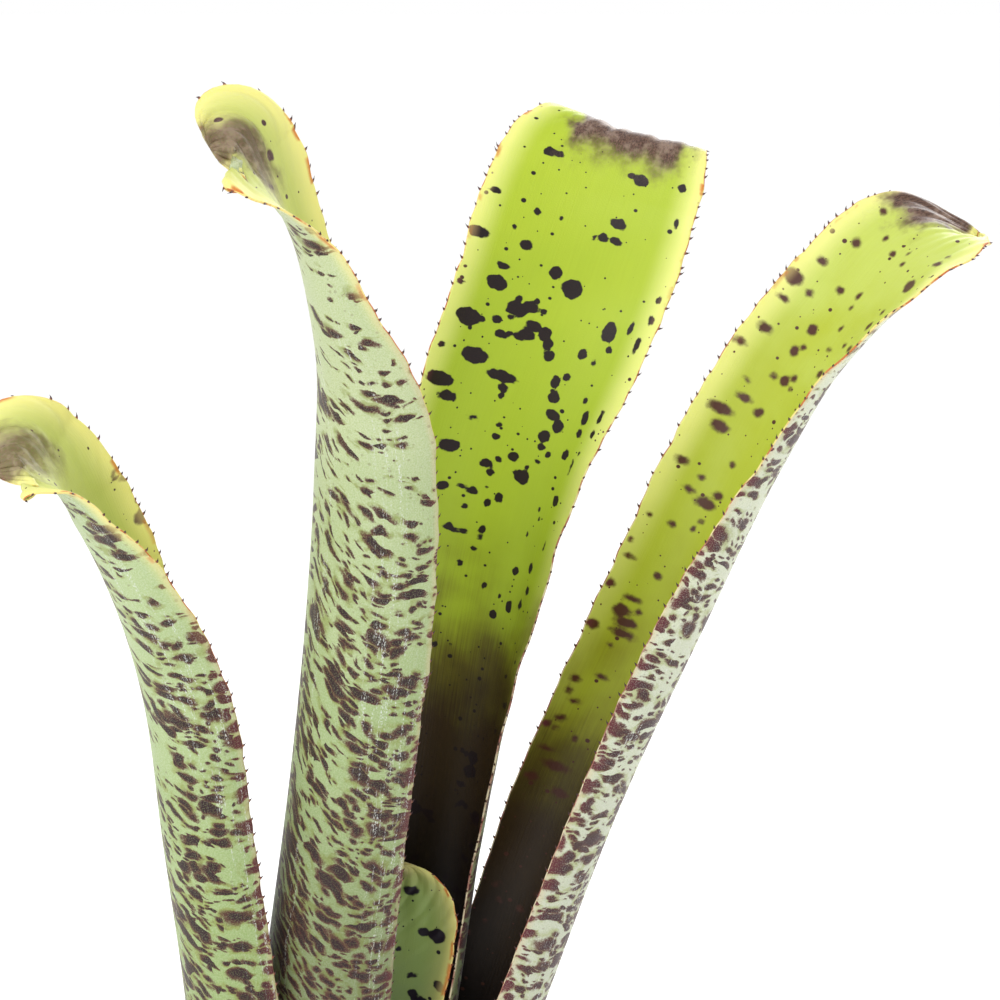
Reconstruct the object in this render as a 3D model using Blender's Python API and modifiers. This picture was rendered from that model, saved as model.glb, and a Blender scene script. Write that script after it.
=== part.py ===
"""A potted spotted bromeliad: a tubular rosette of strap leaves in a plain terracotta pot.

Metres, +Z up. The pot stands on Z = 0 and the plant's axis is the Z axis.
"""

import bpy
import numpy as np

OBJECT_NAME = "potted_bromeliad"

# Clearance between neighbouring pieces.
GAP = 0.0003

# Pot.
POT_HEIGHT = 0.130
POT_FOOT_RADIUS = 0.052
POT_NECK_RADIUS = 0.0705
POT_RIM_RADIUS = 0.0755
POT_RIM_DROP = 0.024
POT_FLOOR = 0.007
POT_INNER_FOOT_RADIUS = 0.046
POT_INNER_TOP_RADIUS = 0.0675
POT_EDGE = 0.0015
POT_RIM_TAPER = 0.0005
POT_RIM_UNDERCUT = 0.0015
POT_FOOT_FLARE = 0.0004
POT_SEGMENTS = 56
DRAIN_HOLES = 4
DRAIN_FIRST_TURN = 45
DRAIN_SEGMENTS = 24
DRAIN_RADIUS = 0.0065
DRAIN_CIRCLE = 0.028

# Potting mix: fills the pot to a little under the rim, with a pocket for the plant's base.
MIX_EDGE_HEIGHT = 0.108
MIX_CROWN_HEIGHT = 0.110
MIX_CROWN_RADIUS = 0.050
POCKET_RADIUS = 0.0425
POCKET_FLOOR = 0.0946

# Stem: the short stock that the leaves grow from.
STEM_FOOT = 0.095
STEM_TOP = 0.148
STEM_RADIUS = 0.0165
STEM_TOP_RADIUS = 0.010
STEM_SHOULDER = 0.012
STEM_SEGMENTS = 32

# Leaves.
LEAF_THICKNESS = 0.0012
LEAF_ROWS = 33
LEAF_COLUMNS = 11
BASAL_ROWS = 14
BASAL_COLUMNS = 9
TIP_SHARPNESS = 2.3
MUCRO_HALF_WIDTH = 0.0022
MUCRO_LENGTH = 0.006
POINT_HALF_WIDTH = 0.0003
ROW_CROWDING = 1.4
FINE_STEPS = 1200

# One leaf is its facing (degrees anticlockwise from +X, seen from above) and its stations from base
# to tip. A station is: x, y, z of the midrib, half width (all mm), roll about the midrib, and how far
# each half curls round the channel, left then right (all degrees).
LEAVES = {
    "leaf_front": (195, (
        (-15, -19, 95, 38, 37, 91, 91),
        (-15, -19, 180, 37, 36, 91, 91),
        (-5, -19, 272, 33, 33, 92, 92),
        (4, -29, 335, 30, 33, 86, 88),
        (11, -36, 393, 30, 33, 80, 86),
        (13, -42, 435, 28.5, 26, 68, 84),
        (8, -46, 469, 26.5, 0, 62, 68),
        (3, -49, 492, 19.5, -8, 58, 52),
        (-5, -53, 510, 19.5, -32, 34, 20),
        (-12, -56, 518, 21, -50, 14, 5),
        (-17, -58, 516, 21, -58, 0, 0),
    )),
    "leaf_left": (185, (
        (-28, -13, 95, 43, 20, 80, 80),
        (-28, -13.5, 180, 42, 22, 80, 75),
        (-31, -20, 272, 28, 28, 88, 86),
        (-36, -22, 318, 27.5, 27, 88, 90),
        (-41, -25, 362, 28, 20, 85, 92),
        (-49, -30, 393, 27.5, 6, 75, 84),
        (-57, -34, 414, 25, -3, 64, 70),
        (-64, -38, 429, 21.5, -14, 45, 45),
        (-72, -42, 435, 20, -38, 15, 10),
        (-78, -45, 431, 20, -48, 0, 0),
    )),
    "leaf_back": (60, (
        (11, 25, 95, 41, 6, 85, 85),
        (11, 25, 180, 40, 6, 85, 85),
        (30, 31, 251, 33, 5, 93, 90),
        (38, 36, 313, 32, 7, 84, 80),
        (47, 42, 374, 32, 12, 66, 72),
        (58, 44, 422, 32, 20, 56, 57),
        (73, 47, 463, 32, 24, 28, 38),
        (84, 52, 495, 31, 20, 8, 15),
        (91, 62, 511, 29, 15, 0, 5),
        (94, 76, 509, 28, 15, -5, -5),
    )),
    "leaf_right": (28, (
        (34, 9.5, 95, 48, -12, 78, 74),
        (34, 9, 165, 47, -12, 77, 66),
        (66, 14, 258, 31, -2, 110, 72),
        (88, 16, 320, 31.5, 0, 106, 101),
        (112, 20, 373, 32, 0, 106, 100),
        (134, 26, 421, 30.5, 0, 74, 74),
        (147, 28, 445, 29.5, 0, 58, 62),
        (162, 30, 465, 28.5, 2, 40, 52),
        (173, 32, 478, 27.5, 2, 16, 44),
        (184, 35, 485, 27, 6, 0, 32),
        (194, 38, 484, 26, 10, -15, 10),
    )),
    "leaf_young": (95, (
        (-2, 20, 95, 31, 0, 90, 90),
        (-2, 20, 170, 28, 0, 80, 80),
        (11, 16, 226, 23, 0, 62, 62),
        (19, 12.5, 259, 21, 0, 50, 50),
        (23, 10.5, 284, 21.5, 0, 42, 42),
        (24, 10, 303, 21.5, 0, 35, 35),
    )),
}
BASAL_LEAVES = {
    "basal_leaf_front": (285, (
        (10, -38, 95, 36, 0, 53, 53),
        (10, -39, 130, 30, 0, 50, 50),
        (14, -48, 165, 24, 0, 45, 45),
        (20, -65, 184, 20, 0, 25, 25),
        (26, -80, 182, 15, 0, 5, 5),
    )),
    "basal_leaf_left": (158, (
        (-36, 15, 95, 36, 0, 53, 53),
        (-37, 15, 140, 30, 0, 50, 50),
        (-44, 19, 185, 24, 0, 45, 45),
        (-60, 28, 215, 20, 0, 25, 25),
        (-75, 38, 218, 15, 0, 5, 5),
    )),
}

# Flat colours, as red, green, blue.
TERRACOTTA = (0.56, 0.25, 0.15)
MIX_BROWN = (0.09, 0.055, 0.035)
STOCK_GREEN = (0.34, 0.36, 0.20)
LEAF_COLOURS = {
    "leaf_front": (0.58, 0.66, 0.40),
    "leaf_left": (0.58, 0.66, 0.42),
    "leaf_back": (0.50, 0.68, 0.12),
    "leaf_right": (0.52, 0.68, 0.16),
    "leaf_young": (0.28, 0.42, 0.12),
    "basal_leaf_front": (0.46, 0.44, 0.24),
    "basal_leaf_left": (0.44, 0.44, 0.24),
}


def clear_scene():
    for item in list(bpy.data.objects):
        bpy.data.objects.remove(item, do_unlink=True)


def new_collection(name):
    collection = bpy.data.collections.new(name)
    bpy.context.scene.collection.children.link(collection)
    return collection


def add_mesh(name, points, edges, faces, collection):
    mesh = bpy.data.meshes.new(name)
    mesh.from_pydata(points, edges, faces)
    mesh.update()
    item = bpy.data.objects.new(name, mesh)
    collection.objects.link(item)
    return item


def paint(item, colour, roughness):
    material = bpy.data.materials.new(item.name)
    material.use_nodes = True
    shader = material.node_tree.nodes["Principled BSDF"]
    shader.inputs["Base Color"].default_value = (*colour, 1.0)
    shader.inputs["Roughness"].default_value = roughness
    material.diffuse_color = (*colour, 1.0)
    item.data.materials.append(material)


def lathe(name, profile, segments, collection):
    """Turns a profile of (radius, height) about Z. It ends on the axis and runs down its outer side."""
    points = [(radius, 0.0, height) for radius, height in profile]
    edges = [(i, i + 1) for i in range(len(points) - 1)]
    item = add_mesh(name, points, edges, [], collection)
    screw = item.modifiers.new("Screw", "SCREW")
    screw.axis = "Z"
    screw.steps = segments
    screw.render_steps = segments
    screw.use_merge_vertices = True
    screw.merge_threshold = 0.0001
    screw.use_smooth_shade = True
    return item


def cut(item, cutter):
    modifier = item.modifiers.new("Cut", "BOOLEAN")
    modifier.operation = "DIFFERENCE"
    modifier.solver = "EXACT"
    modifier.object = cutter
    cutter.hide_render = True
    cutter.display_type = "WIRE"


def cylinder(name, radius, height, centre, collection):
    bpy.ops.mesh.primitive_cylinder_add(vertices=DRAIN_SEGMENTS, radius=radius, depth=height, location=centre)
    item = bpy.context.object
    item.name = name
    for owner in list(item.users_collection):
        owner.objects.unlink(item)
    collection.objects.link(item)
    return item


def through(knots, values, at):
    """A smooth curve through the values at the knots, read off at each place in at."""
    values = np.asarray(values, float)
    width = np.diff(knots)
    rise = (np.diff(values, axis=0).T / width).T
    slope = np.empty_like(values)
    slope[0] = rise[0]
    slope[-1] = rise[-1]
    slope[1:-1] = ((rise[:-1].T * width[1:] + rise[1:].T * width[:-1]) / (width[:-1] + width[1:])).T
    index = np.clip(np.searchsorted(knots, at, side="right") - 1, 0, len(width) - 1)
    span = width[index]
    t = (at - knots[index]) / span
    if values.ndim == 2:
        span = span[:, None]
        t = t[:, None]
    start = (1 + 2 * t) * (1 - t) ** 2 * values[index] + t * (1 - t) ** 2 * span * slope[index]
    end = t * t * (3 - 2 * t) * values[index + 1] + t * t * (t - 1) * span * slope[index + 1]
    return start + end


def leaf_surface(facing, stations, rows, columns):
    """The leaf's middle surface, as a grid of points from base to tip and from left to right."""
    table = np.array(stations, float)
    places = table[:, :3] / 1000
    knots = np.concatenate([[0], np.cumsum(np.linalg.norm(np.diff(places, axis=0), axis=1))])
    fine = np.linspace(0, knots[-1], FINE_STEPS + 1)
    midrib = through(knots, places, fine)
    arc = np.concatenate([[0], np.cumsum(np.linalg.norm(np.diff(midrib, axis=0), axis=1))])
    along = np.gradient(midrib, axis=0)
    along /= np.linalg.norm(along, axis=1)[:, None]

    angle = np.radians(facing)
    sideways = np.array([-np.sin(angle), np.cos(angle), 0.0])
    across = sideways - (along @ sideways)[:, None] * along
    across /= np.linalg.norm(across, axis=1)[:, None]
    inward = np.cross(along, across)
    roll = np.radians(through(knots, table[:, 4], fine))[:, None]
    across, inward = (
        np.cos(roll) * across + np.sin(roll) * inward,
        np.cos(roll) * inward - np.sin(roll) * across,
    )

    full = through(knots, table[:, 3] / 1000, fine)
    tip_start = arc[-1] - full[-1]
    near_tip = np.clip((arc - tip_start) / full[-1], 0, 1)
    half = full * (1 - near_tip ** TIP_SHARPNESS) ** (1 / TIP_SHARPNESS)
    mucro = MUCRO_HALF_WIDTH * np.clip((arc[-1] - arc) / MUCRO_LENGTH, 0, 1) + POINT_HALF_WIDTH
    half = np.maximum(half, mucro)
    left = np.radians(through(knots, table[:, 5], fine)) * half / full
    right = np.radians(through(knots, table[:, 6], fine)) * half / full

    wanted = (1 - (1 - np.linspace(0, 1, rows)) ** ROW_CROWDING) * arc[-1]

    def sample(values):
        if values.ndim == 1:
            return np.interp(wanted, arc, values)
        return np.stack([np.interp(wanted, arc, values[:, k]) for k in range(3)], axis=1)

    midrib, across, inward, half, left, right = map(sample, (midrib, across, inward, half, left, right))
    grid = np.empty((rows, columns, 3))
    for column, v in enumerate(np.linspace(-1, 1, columns)):
        curl = left if v < 0 else right
        curl = np.where(np.abs(curl) < 1e-4, 1e-4, curl)
        out = np.sign(v) * half / curl * np.sin(curl * abs(v))
        up = half / curl * (1 - np.cos(curl * abs(v)))
        grid[:, column] = midrib + out[:, None] * across + up[:, None] * inward
    return grid


def make_leaf(name, facing, stations, rows, columns, collection):
    grid = leaf_surface(facing, stations, rows, columns)
    faces = []
    for i in range(rows - 1):
        for j in range(columns - 1):
            corner = i * columns + j
            faces.append((corner, corner + 1, corner + columns + 1, corner + columns))
    item = add_mesh(name, grid.reshape(-1, 3).tolist(), [], faces, collection)
    for face in item.data.polygons:
        face.use_smooth = True
    solidify = item.modifiers.new("Thickness", "SOLIDIFY")
    solidify.thickness = LEAF_THICKNESS
    solidify.offset = 0.0
    paint(item, LEAF_COLOURS[name], 0.5)
    return item


def inner_radius(height):
    share = (height - POT_FLOOR) / (POT_HEIGHT - POT_FLOOR)
    return POT_INNER_FOOT_RADIUS + share * (POT_INNER_TOP_RADIUS - POT_INNER_FOOT_RADIUS)


def make_pot(collection, cutters):
    rim_foot = POT_HEIGHT - POT_RIM_DROP
    profile = [
        (0.0, POT_FLOOR),
        (POT_INNER_FOOT_RADIUS, POT_FLOOR),
        (inner_radius(POT_HEIGHT - POT_EDGE), POT_HEIGHT - POT_EDGE),
        (POT_INNER_TOP_RADIUS + POT_EDGE, POT_HEIGHT),
        (POT_RIM_RADIUS - POT_EDGE, POT_HEIGHT),
        (POT_RIM_RADIUS, POT_HEIGHT - POT_EDGE),
        (POT_RIM_RADIUS - POT_RIM_TAPER, rim_foot + POT_EDGE),
        (POT_RIM_RADIUS - POT_RIM_UNDERCUT, rim_foot),
        (POT_NECK_RADIUS, rim_foot - POT_EDGE),
        (POT_FOOT_RADIUS + POT_FOOT_FLARE, POT_EDGE),
        (POT_FOOT_RADIUS - POT_EDGE, 0.0),
        (0.0, 0.0),
    ]
    pot = lathe("pot", profile, POT_SEGMENTS, collection)
    for number in range(DRAIN_HOLES):
        turn = np.radians(DRAIN_FIRST_TURN + number * 360 / DRAIN_HOLES)
        centre = (DRAIN_CIRCLE * np.cos(turn), DRAIN_CIRCLE * np.sin(turn), POT_FLOOR / 2)
        drill = cylinder(f"drain_cutter_{number + 1}", DRAIN_RADIUS, 3 * POT_FLOOR, centre, cutters)
        cut(pot, drill)
    paint(pot, TERRACOTTA, 0.85)
    return pot


def make_mix(collection):
    top = MIX_EDGE_HEIGHT
    foot = POT_FLOOR + GAP
    profile = [
        (0.0, POCKET_FLOOR),
        (POCKET_RADIUS, POCKET_FLOOR),
        (POCKET_RADIUS, top),
        (MIX_CROWN_RADIUS, MIX_CROWN_HEIGHT),
        (inner_radius(top) - GAP, top),
        (inner_radius(foot) - GAP, foot),
        (0.0, foot),
    ]
    mix = lathe("potting_mix", profile, POT_SEGMENTS, collection)
    paint(mix, MIX_BROWN, 0.95)
    return mix


def make_stem(collection):
    profile = [(0.0, STEM_TOP)]
    for turn in np.radians((30, 60, 90)):
        profile.append((STEM_TOP_RADIUS * np.sin(turn), STEM_TOP - STEM_TOP_RADIUS * (1 - np.cos(turn))))
    profile += [(STEM_RADIUS, STEM_FOOT + STEM_SHOULDER), (STEM_RADIUS, STEM_FOOT), (0.0, STEM_FOOT)]
    stem = lathe("stem", profile, STEM_SEGMENTS, collection)
    paint(stem, STOCK_GREEN, 0.7)
    return stem


clear_scene()
parts = new_collection(OBJECT_NAME)
cutter_collection = new_collection("cutters")
make_pot(parts, cutter_collection)
make_mix(parts)
make_stem(parts)
for leaf, (leaf_facing, leaf_stations) in LEAVES.items():
    make_leaf(leaf, leaf_facing, leaf_stations, LEAF_ROWS, LEAF_COLUMNS, parts)
for leaf, (leaf_facing, leaf_stations) in BASAL_LEAVES.items():
    make_leaf(leaf, leaf_facing, leaf_stations, BASAL_ROWS, BASAL_COLUMNS, parts)
cutter_collection.hide_render = True
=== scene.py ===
"""The visual model of a potted spotted bromeliad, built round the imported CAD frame.

Metres, +Z up, as in the frame. Leaf patterns are laid out in millimetres on each leaf: across
from its midrib and along from its base.
"""

import math

import bpy
import numpy as np
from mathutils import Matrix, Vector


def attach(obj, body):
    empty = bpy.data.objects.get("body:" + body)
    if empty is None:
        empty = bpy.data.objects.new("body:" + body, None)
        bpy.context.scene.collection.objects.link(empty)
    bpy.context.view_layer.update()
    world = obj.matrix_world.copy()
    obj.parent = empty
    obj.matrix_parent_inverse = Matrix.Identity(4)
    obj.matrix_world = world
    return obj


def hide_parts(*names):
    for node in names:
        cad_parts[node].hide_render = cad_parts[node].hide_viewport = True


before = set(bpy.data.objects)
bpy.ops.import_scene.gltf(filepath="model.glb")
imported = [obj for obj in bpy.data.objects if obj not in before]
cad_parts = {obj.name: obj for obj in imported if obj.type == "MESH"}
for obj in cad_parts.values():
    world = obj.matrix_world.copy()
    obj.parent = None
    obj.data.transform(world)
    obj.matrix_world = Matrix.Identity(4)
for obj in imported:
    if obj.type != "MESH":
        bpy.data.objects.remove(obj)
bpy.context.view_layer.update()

MM = 0.001

# Camera and stage.
VIEW_TARGET = (0.056, 0.0, 0.413)
VIEW_ELEVATION = 12.0
VIEW_DISTANCE = 0.778
LENS = 100.0
FLOOR_SIZE = 30.0

# Pot and mix, as in the CAD model.
POT_HEIGHT = 0.130
POT_FOOT_RADIUS = 0.052
POT_NECK_RADIUS = 0.0705
POT_RIM_RADIUS = 0.0755
POT_RIM_DROP = 0.024
POT_FLOOR = 0.007
POT_INNER_FOOT_RADIUS = 0.046
POT_INNER_TOP_RADIUS = 0.0675
POT_EDGE = 0.0015
POT_RIM_TAPER = 0.0005
POT_FOOT_FLARE = 0.0004
POT_WALL_STEPS = 24
POT_SEGMENTS = 144
DRAIN_HOLES = 4
DRAIN_FIRST_TURN = 45
DRAIN_SEGMENTS = 32
DRILL_TOP = 0.012
DRILL_FOOT = -0.005
DRAIN_RADIUS = 0.0065
DRAIN_CIRCLE = 0.028
MIX_EDGE_HEIGHT = 0.108
MIX_CROWN_HEIGHT = 0.110
MIX_CROWN_RADIUS = 0.050
POCKET_RADIUS = 0.0425
POCKET_FLOOR = 0.0946
GAP = 0.0003
CHIPS = 260
CHIP_RING = (0.0485, 0.0595)
CHIP_HEIGHT = (0.1082, 0.1098)

# Leaves.
LEAF_THICKNESS = 0.0012
EDGE_THICKNESS = 0.45
TIP_SHARPNESS = 2.3
MUCRO_HALF_WIDTH = 0.0022
MUCRO_LENGTH = 0.006
POINT_HALF_WIDTH = 0.0003
ROW_CROWDING = 1.12
FINE_STEPS = 1200
CELL = 0.95 * MM
FAR_FROM_SPOTS = 4.0
SPINE_LENGTH = (1.2 * MM, 2.1 * MM)
SPINE_SPACING = (2.6 * MM, 6.0 * MM)
SPINE_RADIUS = 0.42 * MM
SPINE_SIDES = 6
SPINE_RINGS = (0.0, 0.3, 0.6, 0.85)

# The outer face's blotches lie level near one margin and slant more and more away from it: how strong
# that is (half the slant gained per mm), where across (mm) it starts, and how far it goes on growing.
ARCH = 0.0155
ARCH_CENTRE = 27.0
ARCH_REACH = 36.0

# A leaf's facing (degrees anticlockwise from +X, seen from above) and its stations from base to
# tip: x, y, z of the midrib, half width (mm), roll, and curl to the left and right (degrees).
LEAVES = {
    "leaf_front": (195, (
        (-15, -19, 95, 38, 37, 91, 91),
        (-15, -19, 180, 37, 36, 91, 91),
        (-5, -19, 272, 33, 33, 92, 92),
        (4, -29, 335, 30, 33, 86, 88),
        (11, -36, 393, 30, 33, 80, 86),
        (13, -42, 435, 28.5, 26, 68, 84),
        (8, -46, 469, 26.5, 0, 62, 68),
        (3, -49, 492, 19.5, -8, 58, 52),
        (-5, -53, 510, 19.5, -32, 34, 20),
        (-12, -56, 518, 21, -50, 14, 5),
        (-17, -58, 516, 21, -58, 0, 0),
    )),
    "leaf_left": (185, (
        (-28, -13, 95, 43, 20, 80, 80),
        (-28, -13.5, 180, 42, 22, 80, 75),
        (-31, -20, 272, 28, 28, 88, 86),
        (-36, -22, 318, 27.5, 27, 88, 90),
        (-41, -25, 362, 28, 20, 85, 92),
        (-49, -30, 393, 27.5, 6, 75, 84),
        (-57, -34, 414, 25, -3, 64, 70),
        (-64, -38, 429, 21.5, -14, 45, 45),
        (-72, -42, 435, 20, -38, 15, 10),
        (-78, -45, 431, 20, -48, 0, 0),
    )),
    "leaf_back": (60, (
        (11, 25, 95, 41, 6, 85, 85),
        (11, 25, 180, 40, 6, 85, 85),
        (30, 31, 251, 33, 5, 93, 90),
        (38, 36, 313, 32, 7, 84, 80),
        (47, 42, 374, 32, 12, 66, 72),
        (58, 44, 422, 32, 20, 56, 57),
        (73, 47, 463, 32, 24, 28, 38),
        (84, 52, 495, 31, 20, 8, 15),
        (91, 62, 511, 29, 15, 0, 5),
        (94, 76, 509, 28, 15, -5, -5),
    )),
    "leaf_right": (28, (
        (34, 9.5, 95, 48, -12, 78, 74),
        (34, 9, 165, 47, -12, 77, 66),
        (66, 14, 258, 31, -2, 110, 72),
        (88, 16, 320, 31.5, 0, 106, 101),
        (112, 20, 373, 32, 0, 106, 100),
        (134, 26, 421, 30.5, 0, 74, 74),
        (147, 28, 445, 29.5, 0, 58, 62),
        (162, 30, 465, 28.5, 2, 40, 52),
        (173, 32, 478, 27.5, 2, 16, 44),
        (184, 35, 485, 27, 6, 0, 32),
        (194, 38, 484, 26, 10, -15, 10),
    )),
    "leaf_young": (95, (
        (-2, 20, 95, 31, 0, 90, 90),
        (-2, 20, 170, 28, 0, 80, 80),
        (11, 16, 226, 23, 0, 62, 62),
        (19, 12.5, 259, 21, 0, 50, 50),
        (23, 10.5, 284, 21.5, 0, 42, 42),
        (24, 10, 303, 21.5, 0, 35, 35),
    )),
    "basal_leaf_front": (285, (
        (10, -38, 95, 36, 0, 53, 53),
        (10, -39, 130, 30, 0, 50, 50),
        (14, -48, 165, 24, 0, 45, 45),
        (20, -65, 184, 20, 0, 25, 25),
        (26, -80, 182, 15, 0, 5, 5),
    )),
    "basal_leaf_left": (158, (
        (-36, 15, 95, 36, 0, 53, 53),
        (-37, 15, 140, 30, 0, 50, 50),
        (-44, 19, 185, 24, 0, 45, 45),
        (-60, 28, 215, 20, 0, 25, 25),
        (-75, 38, 218, 15, 0, 5, 5),
    )),
}

# Each leaf's pattern: seed; how many spots are scattered on the inner face, and how far up from the
# base (as a share of its length); how soft a spot's edge is (mm); where painted shade darkens that face
# towards its base (mm along); how dense the outer blotches are, low down and at the tip; how much of its
# colour the outer face keeps low down under painted shade; where the husk at the tip begins and is full
# (mm from the tip), its middle and half width across (mm), and how dry it is; how far the tip's middle
# bends down (mm); and whether the leaf is an old basal one.
BASAL_LOOK = dict(spots=50, reach=0.97, soft=0.5, dense=(0.8, 0.4), low=0.8, husk=(34, 16), patch=(0, 14),
                  dying=1.0, droop=2.0, old=True)
LOOKS = {
    "leaf_front": dict(seed=1, spots=60, reach=0.97, soft=0.5, painted_shade=(250, 300), dense=(0.72, 0.12),
                       low=0.55, husk=(38, 14), patch=(0, 7), dying=0.75, droop=0.0, old=False),
    "leaf_left": dict(seed=2, spots=60, reach=0.97, soft=0.5, painted_shade=(200, 250), dense=(0.66, 0.18),
                      low=0.9, husk=(34, 8), patch=(0, 10), dying=0.7, droop=0.0, old=False),
    "leaf_back": dict(seed=3, spots=170, reach=0.62, soft=0.22, painted_shade=(250, 286), dense=(0.8, 0.2),
                      low=0.85, husk=(34, 15), patch=(-5, 19), dying=1.0, droop=2.0, old=False),
    "leaf_right": dict(seed=4, spots=130, reach=0.52, soft=0.75, painted_shade=(214, 270), dense=(0.75, 0.25),
                       low=0.9, husk=(24, 10), patch=(13, 10), dying=1.0, droop=3.0, old=False),
    "leaf_young": dict(seed=5, spots=260, reach=0.98, soft=0.3, painted_shade=(40, 90), dense=(0.8, 0.6),
                       low=0.9, husk=(5, 2), patch=(0, 5), dying=0.5, droop=0.0, old=False),
    "basal_leaf_front": dict(BASAL_LOOK, seed=6, painted_shade=(20, 60)),
    "basal_leaf_left": dict(BASAL_LOOK, seed=7, painted_shade=(30, 80)),
}
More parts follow.
